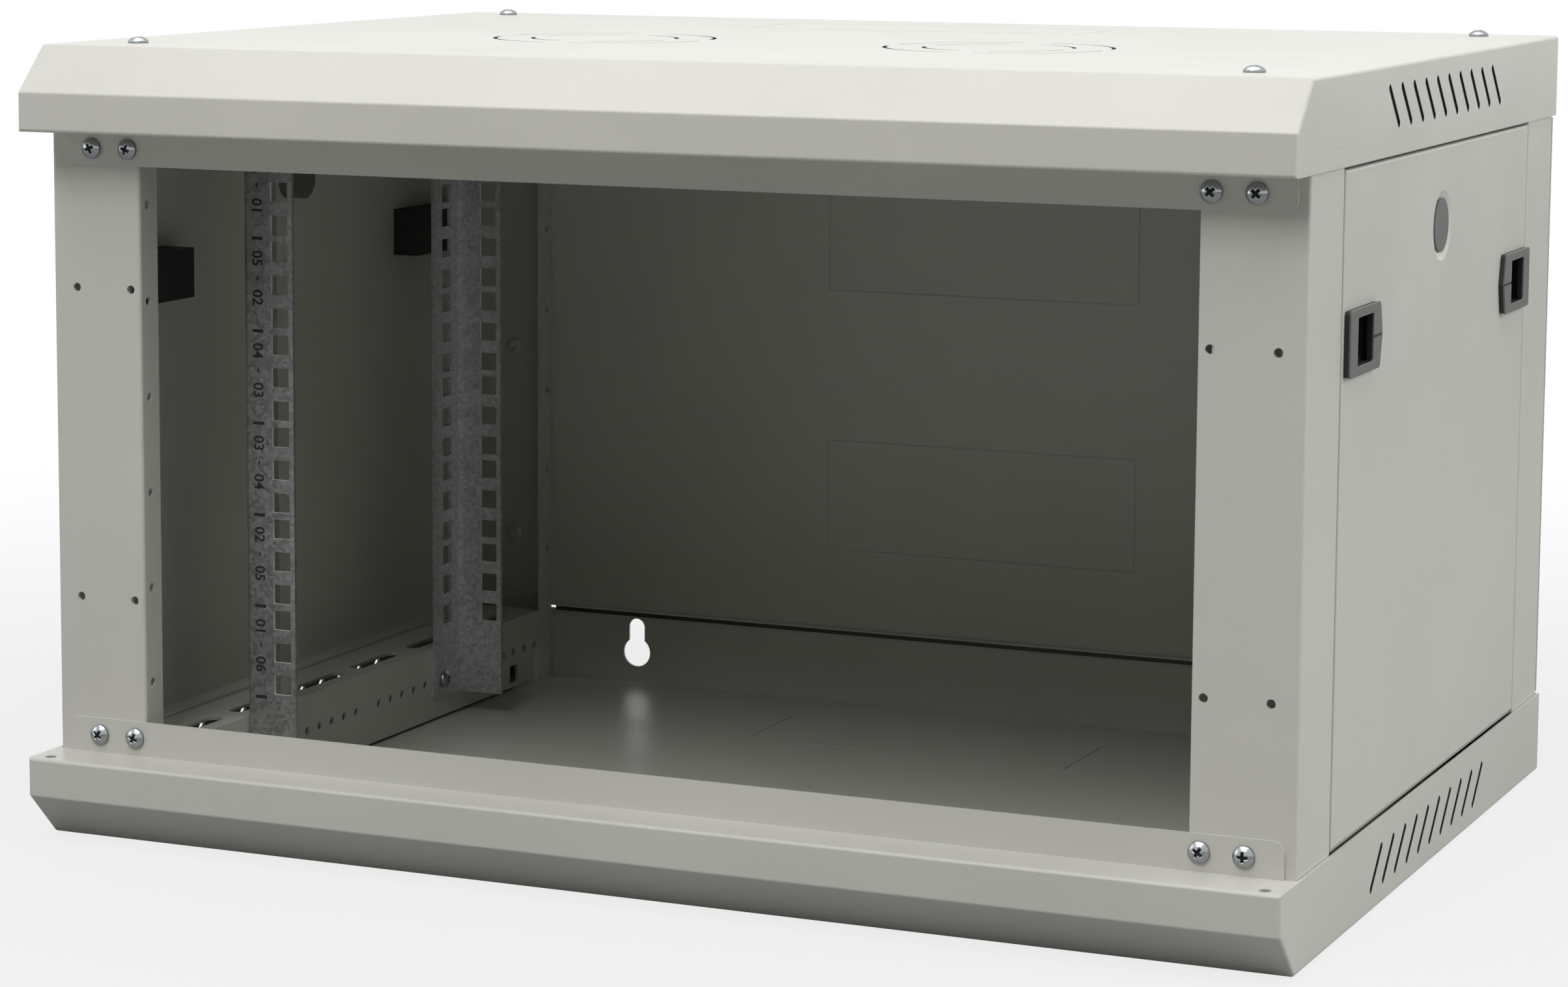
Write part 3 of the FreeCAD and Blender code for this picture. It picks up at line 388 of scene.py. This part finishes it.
def seats_of(node, outward):
    """The middle of each screw's top in a node, with its head's radius and its length.

    Points that lie closer than a head's width, seen along the axis, belong to one screw.
    """
    apart = 11.0 * MM
    count = len(NODES[node].data.vertices)
    points = np.empty(count * 3, np.float32)
    NODES[node].data.vertices.foreach_get("co", points)
    points = points.reshape(-1, 3).astype(float)
    found = []
    while len(points):
        flat = points - np.outer(points @ outward, outward)
        near = np.linalg.norm(flat - flat[0], axis=1) < apart
        high = points[near] @ outward
        low_corner, high_corner = flat[near].min(0), flat[near].max(0)
        middle = (low_corner + high_corner) / 2
        reach = (high_corner - low_corner).max() / 2
        found.append((middle + outward * high.max(), reach, high.max() - high.min()))
        points = points[~near]
    return found


def screw_surface(radius, rise, depth, settings, dome, shank, turns=64):
    """A turned screw with a cross recess, its top at z = 0 and its axis along +z.

    The profile is a list of (radius, height) rings from the top's middle out over the head, in
    under it and down the shank. The recess lowers a top point by its depth times a fall-off
    along the nearer arm, wherever the point lies within half an arm's width of it.
    """
    rings, roundness, eye, tip = 22, 2.6, 0.01, 0.02
    out = np.linspace(0.0, 1.0, rings)[1:]
    crown = np.stack([radius * out, -dome * out ** roundness], axis=1)
    under = np.array([[radius, -rise], [shank, -rise], [shank, -depth]])
    profile = np.concatenate([[[radius * eye, 0.0]], crown, under, [[shank * tip, -depth]]])
    angle = np.linspace(0.0, 2.0 * math.pi, turns, endpoint=False)
    x = profile[:, :1] * np.cos(angle)
    y = profile[:, :1] * np.sin(angle)
    z = np.repeat(profile[:, 1:], turns, axis=1)
    along, across = np.maximum(abs(x), abs(y)), np.minimum(abs(x), abs(y))
    wide = settings.recess_width / 2
    side_edge, side_slope, end_slope, floor_rise = wide * 1.25, wide * 0.5, wide * 0.7, 0.55
    side = np.clip((side_edge - across) / side_slope, 0.0, 1.0)
    end = np.clip((settings.recess_reach - along) / end_slope, 0.0, 1.0)
    fall = 1.0 - floor_rise * along / settings.recess_reach
    top = (np.arange(len(profile)) <= len(crown))[:, None]
    # the same recess mask is returned to darken the recess as painted shade
    recess_and_shade = np.where(top, side * end, 0.0)
    z = z - settings.recess_depth * recess_and_shade * fall
    vertices = np.stack([x, y, z], axis=-1).reshape(-1, 3)
    faces = grid_faces(len(profile), turns)
    last = (len(profile) - 1) * turns
    caps = [list(range(turns)), list(range(last + turns - 1, last - 1, -1))]
    return vertices, faces, caps, recess_and_shade.reshape(-1)


def turned_to(vertices, outward, twist):
    """Turns a part made along +z to look along outward, after a twist about its own axis."""
    spin = Matrix.Rotation(twist, 3, "Z")
    lean = Vector((0.0, 0.0, 1.0)).rotation_difference(Vector(outward)).to_matrix()
    return vertices @ np.array(lean @ spin).T


def slab(low, high):
    """The eight corners and six outward faces of an upright block."""
    low, high = np.minimum(low, high), np.maximum(low, high)
    pick = np.array([[0, 0, 0], [1, 0, 0], [1, 1, 0], [0, 1, 0],
                     [0, 0, 1], [1, 0, 1], [1, 1, 1], [0, 1, 1]])
    faces = [[0, 3, 2, 1], [4, 5, 6, 7], [0, 1, 5, 4], [1, 2, 6, 5], [2, 3, 7, 6], [3, 0, 4, 7]]
    return low + pick * (high - low), faces


def joined(parts):
    """One list of vertices and faces from many, each face moved on by what came before it."""
    vertices, faces, base = [], [], 0
    for points, polygons in parts:
        vertices.append(np.asarray(points))
        faces.extend([[base + int(i) for i in polygon] for polygon in polygons])
        base += len(points)
    return np.concatenate(vertices), faces


def text_shape(body, height):
    """A short printed number as a thin closed mesh in the XY plane, centred on the origin."""
    size_share, half_thick, bolder, corners = 1.42, 0.02 * MM, 0.14 * MM, 3
    curve = bpy.data.curves.new("digits", "FONT")
    curve.body, curve.size = body, height * size_share
    curve.align_x, curve.align_y = "CENTER", "CENTER"
    curve.extrude, curve.offset, curve.resolution_u = half_thick, bolder, corners
    holder = bpy.data.objects.new("digits", curve)
    bpy.context.scene.collection.objects.link(holder)
    bpy.context.view_layer.update()
    mesh = bpy.data.meshes.new_from_object(
        holder.evaluated_get(bpy.context.evaluated_depsgraph_get()))
    points = np.empty(len(mesh.vertices) * 3, np.float32)
    mesh.vertices.foreach_get("co", points)
    points = points.reshape(-1, 3).astype(float)
    points[:, :2] -= (points[:, :2].min(0) + points[:, :2].max(0)) / 2
    faces = [list(polygon.vertices) for polygon in mesh.polygons]
    bpy.data.objects.remove(holder)
    bpy.data.curves.remove(curve)
    bpy.data.meshes.remove(mesh)
    return points, faces


# --- operators ----------------------------------------------------------------------------------

class CABINET_OT_mix_finishes(bpy.types.Operator):
    """Build the shared pattern groups and every material"""
    bl_idname = "cabinet.mix_finishes"
    bl_label = "Mix Finishes"

    def execute(self, context):
        look = context.scene.cabinet_finishes
        ripple, handling, spangle = (build_ripple_group(), build_handling_group(),
                                     build_spangle_group())

        for name, painted_shade_group in (("Powder Coat", build_cut_shade_group()),
                           ("Back Panel Coat", build_seam_shadow_group())):
            tree, shader = new_material(name, look.paint, look.paint_roughness, specular=0.3)
            peel = place_group(tree, ripple, Grain=1.0 / look.paint_grain)
            smears = place_group(tree, handling, Amount=1.0)
            tone = mix_colour(tree, ramp_node(tree, peel.outputs["Mottle"], 0.3, 0.7),
                              tinted(look.paint, 0.975), tinted(look.paint, 1.02))
            # painted shade: where the mask is 1, the coat turns to the dark colour
            painted_shade_group = place_group(tree, painted_shade_group)
            tree.links.new(mix_colour(tree, painted_shade_group.outputs["Mask"], tone, look.edge[:]),
                           shader.inputs["Base Color"])
            rough = math_node(tree, "MULTIPLY_ADD", smears.outputs["Mask"], 0.07,
                              look.paint_roughness)
            tree.links.new(rough, shader.inputs["Roughness"])
            bump(tree, shader, peel.outputs["Height"], 0.08 * MM, 0.8)

        tree, shader = new_material("Galvanised Steel", look.zinc, 0.42, 0.9)
        crystals = place_group(tree, spangle, Cells=1.0 / look.spangle)
        smears = place_group(tree, handling, Amount=1.0)
        tone = mix_colour(tree, crystals.outputs["Tone"], tinted(look.zinc, 0.55),
                          tinted(look.zinc, 1.45))
        # painted highlight: the hole walls turn near-white and less metallic, so they read as lit
        hole_highlight = place_group(tree, build_hole_highlight_group())
        tree.links.new(mix_colour(tree, hole_highlight.outputs["Mask"], tone, look.hole_highlight[:]),
                       shader.inputs["Base Color"])
        tree.links.new(math_node(tree, "MULTIPLY_ADD", hole_highlight.outputs["Mask"], -0.7, 0.9),
                       shader.inputs["Metallic"])
        rough = math_node(tree, "MULTIPLY_ADD", crystals.outputs["Tone"], 0.22, 0.34)
        rough = math_node(tree, "MULTIPLY_ADD", smears.outputs["Mask"], 0.08, rough)
        tree.links.new(rough, shader.inputs["Roughness"])
        bump(tree, shader, crystals.outputs["Height"], 0.02 * MM, 0.5)

        tree, shader = new_material("Bright Zinc", look.screw, 0.24, 1.0)
        peel = place_group(tree, ripple, Grain=2600.0)
        smears = place_group(tree, handling, Amount=1.0)
        plated = mix_colour(tree, peel.outputs["Mottle"], tinted(look.screw, 0.88),
                            tinted(look.screw, 1.06))
        # painted shade: the cross recess is darkened to near-black
        recess_and_shade = tree.nodes.new("ShaderNodeAttribute")
        recess_and_shade.attribute_name = "recess_and_shade"
        tree.links.new(mix_colour(tree, recess_and_shade.outputs["Fac"], plated, tinted(look.screw, 0.05)),
                       shader.inputs["Base Color"])
        tree.links.new(math_node(tree, "MULTIPLY_ADD", smears.outputs["Mask"], 0.14, 0.2),
                       shader.inputs["Roughness"])
        bump(tree, shader, peel.outputs["Height"], 0.01 * MM, 0.4)

        for name, base, rough_low, grain in (("Latch Plastic", look.bezel, 0.42, 1800.0),
                                             ("Black Plastic", look.black, 0.5, 2200.0)):
            tree, shader = new_material(name, base, rough_low)
            peel = place_group(tree, ripple, Grain=grain)
            smears = place_group(tree, handling, Amount=1.0)
            tree.links.new(mix_colour(tree, peel.outputs["Mottle"], tinted(base, 0.9),
                                      tinted(base, 1.1)), shader.inputs["Base Color"])
            tree.links.new(math_node(tree, "MULTIPLY_ADD", smears.outputs["Mask"], 0.1, rough_low),
                           shader.inputs["Roughness"])
            bump(tree, shader, peel.outputs["Height"], 0.02 * MM, 0.5)

        tree, shader = new_material("Rail Ink", look.ink, 0.6)
        worn = place_group(tree, spangle, Cells=900.0)
        tree.links.new(mix_colour(tree, worn.outputs["Tone"], tinted(look.ink, 0.7),
                                  tinted(look.ink, 2.2)), shader.inputs["Base Color"])
        return {"FINISHED"}


class CABINET_OT_coat_sheet_metal(bpy.types.Operator):
    """Give the folded sheets their powder coat"""
    bl_idname = "cabinet.coat_sheet_metal"
    bl_label = "Coat Sheet Metal"

    def execute(self, context):
        words = ("cover", "post", "side_rail", "side_panel", "back_panel")
        sheets = [n for n in NODES if any(w in n for w in words) and "screws" not in n]
        if not sheets:
            raise RuntimeError("no painted sheets were found")
        for node in sheets:
            wear_material(node, "Back Panel Coat" if node == "back_panel" else "Powder Coat")
        return {"FINISHED"}


class CABINET_OT_galvanise_rails(bpy.types.Operator):
    """Give the equipment rails their spangled zinc"""
    bl_idname = "cabinet.galvanise_rails"
    bl_label = "Galvanise Rails"

    def execute(self, context):
        for node in NODES:
            if node.startswith("mounting_rail"):
                wear_material(node, "Galvanised Steel")
        return {"FINISHED"}


class CABINET_OT_mould_latches(bpy.types.Operator):
    """Give the latches and caps their plastics and ink the latches' index lines"""
    bl_idname = "cabinet.mould_latches"
    bl_label = "Mould Latches"

    def execute(self, context):
        for node in NODES:
            if node.startswith("latch_bezel") or node.startswith("panel_cap"):
                wear_material(node, "Latch Plastic")
            elif node.startswith("latch_"):
                wear_material(node, "Black Plastic")
        line_long, line_half, rim_gap = 14.2 * MM, 0.55 * MM, 0.1 * MM
        groove_floor, line_top = 0.42 * MM, 0.22 * MM
        for side, sign in (("left", -1.0), ("right", 1.0)):
            parts = []
            for end, way in (("front", 1.0), ("rear", -1.0)):
                low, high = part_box(f"latch_bezel_{side}_{end}")
                middle = (low.z + high.z) / 2
                tip = high.y if way > 0 else low.y
                face = high.x if sign > 0 else -low.x
                parts.append(slab(
                    np.array([sign * (face - groove_floor), tip - way * line_long,
                              middle - line_half]),
                    np.array([sign * (face - line_top), tip - way * rim_gap,
                              middle + line_half])))
            vertices, faces = joined(parts)
            mesh_piece(f"index_lines_{side}", vertices, faces, f"panel_{side}",
                       "Black Plastic", smooth=False)
        return {"FINISHED"}


class CABINET_OT_drive_screws(bpy.types.Operator):
    """Replace the plain screws by turned heads with a cross recess"""
    bl_idname = "cabinet.drive_screws"
    bl_label = "Drive Screws"

    def execute(self, context):
        settings = context.scene.cabinet_screws
        head_rise, head_dome = 3.0 * MM, 1.9 * MM
        flush_rise, flush_dome = 1.1 * MM, 0.05 * MM
        inside, shank_share = 0.995, 0.52
        looks = {"top_flange_screws": (0, -1, 0), "bottom_flange_screws": (0, -1, 0),
                 "top_cover_screws": (0, 0, 1), "bottom_cover_screws": (0, 0, -1),
                 "rail_screws_left": (1, 0, 0), "rail_screws_right": (-1, 0, 0),
                 "back_panel_screws": (0, -1, 0)}
        turn = np.random.default_rng(7)
        for node, way in looks.items():
            outward = np.array(way, float)
            flush = node == "bottom_cover_screws"
            parts, recess_and_shade_parts = [], []
            for top, reach, tall in seats_of(node, outward):
                points, quads, caps, recess_and_shade = screw_surface(
                    reach * inside, flush_rise if flush else head_rise, tall * inside,
                    settings, flush_dome if flush else head_dome, reach * shank_share)
                points = turned_to(points, way, turn.uniform(0.0, math.pi)) + top
                parts.append((points, [*quads.tolist(), *caps]))
                recess_and_shade_parts.append(recess_and_shade)
            if not parts:
                raise RuntimeError(f"{node} has no screws")
            vertices, faces = joined(parts)
            coat = "Powder Coat" if node == "back_panel_screws" else "Bright Zinc"
            made = mesh_piece(f"turned_{node}", vertices, faces, body_of_node(node),
                              coat)
            mask = made.data.attributes.new("recess_and_shade", "FLOAT", "POINT")
            mask.data.foreach_set("value", np.concatenate(recess_and_shade_parts).astype(np.float32))
            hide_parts(node)
        return {"FINISHED"}


class CABINET_OT_print_rail_marks(bpy.types.Operator):
    """Print the unit ticks and plain numbers on the equipment rails"""
    bl_idname = "cabinet.print_rail_marks"
    bl_label = "Print Rail Marks"

    def execute(self, context):
        marks = context.scene.cabinet_marks
        digits = {n: text_shape(f"{n:02d}", marks.digit_height) for n in range(1, UNITS + 1)}
        low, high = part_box("mounting_rail_front_left")
        middle = (low.z + high.z) / 2
        column_in = 7.6 * MM
        up_share, down_share, dash_share = 0.785, 0.36, 0.57
        skin = np.array([0.0, 0.03 * MM, 0.0])
        tick = np.array([marks.tick_length / 2, 0.0, marks.tick_width / 2])
        dash = np.array([0.4 * MM, 0.0, 1.0 * MM])
        for end, way in (("front", -1.0), ("rear", 1.0)):
            for side in ("left", "right"):
                node = f"mounting_rail_{end}_{side}"
                lo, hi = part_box(node)
                sign = -1.0 if side == "left" else 1.0
                outer = max(abs(lo.x), abs(hi.x))
                face = lo.y if way < 0 else hi.y
                column = sign * (outer - column_in)
                parts = []
                for unit in range(UNITS + 1):
                    level = middle + (unit - UNITS / 2) * marks.unit
                    at = np.array([column, face, level])
                    parts.append(slab(at - tick - skin, at + tick + skin))
                    if unit == UNITS:
                        continue
                    for number, share in ((unit + 1, up_share), (UNITS - unit, down_share)):
                        shape, faces = digits[number]
                        x, y, z = shape.T
                        if way < 0:
                            lain = np.stack([y, -z, -x], axis=1)
                        else:
                            lain = np.stack([-y, z, -x], axis=1)
                        parts.append((lain + [column, face, level + share * marks.unit], faces))
                    spot = np.array([column, face, level + dash_share * marks.unit])
                    parts.append(slab(spot - dash - skin, spot + dash + skin))
                vertices, faces = joined(parts)
                mesh_piece(f"marks_{end}_{side}", vertices, faces, "cabinet",
                           "Rail Ink", smooth=False)
        return {"FINISHED"}


class CABINET_OT_set_stage(bpy.types.Operator):
    """Lay the floor, hang the softboxes and place the camera"""
    bl_idname = "cabinet.set_stage"
    bl_label = "Set Stage"

    def execute(self, context):
        stage = context.scene.cabinet_stage
        scene = context.scene
        scene.view_settings.view_transform = "Standard"
        self.lay_floor(stage)
        self.light_room(scene, stage)
        self.hang_softbox("Overhead Softbox", (0.0, -0.25, 2.1), (0.0, -0.1, 0.0), 2.4, 2.2,
                          stage.overhead)
        self.hang_softbox("Right Softbox", (2.4, 0.35, 1.2), (0.3, 0.05, 0.2), 2.1, 2.1,
                          stage.side, mirrored=False)
        self.hang_softbox("Key Softbox", (-0.1, -2.1, 2.2), (0.0, -0.1, 0.2), 1.5, 1.0,
                          stage.key)
        self.hang_softbox("Left Softbox", (-2.2, -1.3, 0.7), (0.0, -0.2, 0.2), 0.8, 1.6,
                          stage.rim)
        self.place_camera(scene)
        return {"FINISHED"}

    def lay_floor(self, stage):
        """A round floor whose shading fades to plain white towards its rim."""
        turns, reach, drop = 96, 7.0, 0.5 * MM
        near, far_off, near_white = 0.35, 1.3, 0.8
        angle = np.linspace(0.0, 2.0 * math.pi, turns, endpoint=False)
        rim = np.stack([reach * np.cos(angle), reach * np.sin(angle), np.zeros(turns)], axis=1)
        mesh = bpy.data.meshes.new("floor")
        mesh.from_pydata(rim, [], [list(range(turns))])
        floor = bpy.data.objects.new("floor", mesh)
        floor.location.z = -drop
        bpy.context.scene.collection.objects.link(floor)
        tree, shader = new_material("Studio Floor", stage.floor, 0.9, specular=0.1)
        glow = tree.nodes.new("ShaderNodeEmission")
        glow.inputs["Color"].default_value = (1.0, 1.0, 1.0, 1.0)
        place = tree.nodes.new("ShaderNodeTexCoord").outputs["Object"]
        far = tree.nodes.new("ShaderNodeVectorMath")
        far.operation = "LENGTH"
        tree.links.new(place, far.inputs[0])
        plain = ramp_node(tree, far.outputs["Value"], near, far_off, near_white, 1.0)
        rays = tree.nodes.new("ShaderNodeLightPath")
        seen = math_node(tree, "MAXIMUM", rays.outputs["Is Camera Ray"],
                         rays.outputs["Is Transmission Ray"])
        share = math_node(tree, "MULTIPLY", plain, seen)
        blend = tree.nodes.new("ShaderNodeMixShader")
        tree.links.new(share, blend.inputs[0])
        tree.links.new(shader.outputs[0], blend.inputs[1])
        tree.links.new(glow.outputs[0], blend.inputs[2])
        tree.links.new(blend.outputs[0], tree.nodes["Material Output"].inputs["Surface"])
        mesh.materials.append(MATERIALS["Studio Floor"])

    def light_room(self, scene, stage):
        """White where the camera and reflections look, dim for everything else."""
        world = bpy.data.worlds.new("Studio Room")
        scene.world = world
        world.use_nodes = True
        tree = world.node_tree
        glow = tree.nodes["Background"]
        glow.inputs["Color"].default_value = (1.0, 1.0, 1.0, 1.0)
        rays = tree.nodes.new("ShaderNodeLightPath")
        seen = math_node(tree, "MAXIMUM", rays.outputs["Is Camera Ray"],
                         rays.outputs["Is Transmission Ray"])
        seen = math_node(tree, "MAXIMUM", seen, rays.outputs["Is Glossy Ray"])
        tree.links.new(math_node(tree, "MAXIMUM", seen, stage.fill), glow.inputs["Strength"])

    def hang_softbox(self, name, place, target, wide, deep, power, mirrored=True):
        """An area lamp that looks at a target; unmirrored, it lights without a reflection."""
        lamp = bpy.data.lights.new(name, "AREA")
        lamp.shape, lamp.size, lamp.size_y, lamp.energy = "RECTANGLE", wide, deep, power
        made = bpy.data.objects.new(name, lamp)
        made.location = place
        aim = Vector(target) - Vector(place)
        made.rotation_euler = aim.to_track_quat("-Z", "Y").to_euler()
        made.visible_glossy = mirrored
        bpy.context.scene.collection.objects.link(made)

    def place_camera(self, scene):
        """A long lens in front of the right corner, a little above the cabinet.

        The axes come from a turn about z, a tilt and a small roll; the shift frames the cabinet.
        """
        stand = Vector((0.7616, -1.8132, 0.4577))
        yaw, pitch, roll = (math.radians(v) for v in (-24.54, -7.13, 0.20))
        forward = Vector((math.cos(pitch) * math.sin(yaw), math.cos(pitch) * math.cos(yaw),
                          math.sin(pitch)))
        right = Vector((math.cos(yaw), -math.sin(yaw), 0.0))
        up = right.cross(forward)
        level, lean = math.cos(roll), math.sin(roll)
        right, up = right * level + up * lean, up * level - right * lean
        lens = bpy.data.cameras.new("camera")
        lens.sensor_width, lens.lens = 36.0, 95.27442
        lens.shift_x, lens.shift_y = 0.060008, -0.079983
        made = bpy.data.objects.new("camera", lens)
        axes = Matrix((right, up, -forward)).transposed()
        made.matrix_world = Matrix.Translation(stand) @ axes.to_4x4()
        scene.collection.objects.link(made)
        scene.camera = made


class CABINET_PT_sidebar(bpy.types.Panel):
    """Lists the cabinet's steps and settings"""
    bl_idname = "CABINET_PT_sidebar"
    bl_label = "Wall Mount Cabinet"
    bl_space_type = "VIEW_3D"
    bl_region_type = "UI"
    bl_category = "Cabinet"

    def draw(self, context):
        for name in ("cabinet_finishes", "cabinet_screws", "cabinet_marks", "cabinet_stage"):
            settings = getattr(context.scene, name)
            box = self.layout.box()
            for field in settings.__annotations__:
                box.prop(settings, field)
        for step in STEPS:
            self.layout.operator(step.bl_idname)


STEPS = (CABINET_OT_mix_finishes, CABINET_OT_coat_sheet_metal, CABINET_OT_galvanise_rails,
         CABINET_OT_mould_latches, CABINET_OT_drive_screws, CABINET_OT_print_rail_marks,
         CABINET_OT_set_stage)
SETTINGS = {"cabinet_finishes": CabinetFinishes, "cabinet_screws": CabinetScrews,
            "cabinet_marks": CabinetMarks, "cabinet_stage": CabinetStage}


def register():
    for kind in (*SETTINGS.values(), *STEPS, CABINET_PT_sidebar):
        bpy.utils.register_class(kind)
    for name, kind in SETTINGS.items():
        setattr(bpy.types.Scene, name, bpy.props.PointerProperty(type=kind))


def unregister():
    for name in SETTINGS:
        delattr(bpy.types.Scene, name)
    for kind in reversed((*SETTINGS.values(), *STEPS, CABINET_PT_sidebar)):
        bpy.utils.unregister_class(kind)


def main():
    register()
    for step in STEPS:
        area, name = step.bl_idname.split(".")
        getattr(getattr(bpy.ops, area), name)()


if __name__ == "__main__":
    main()
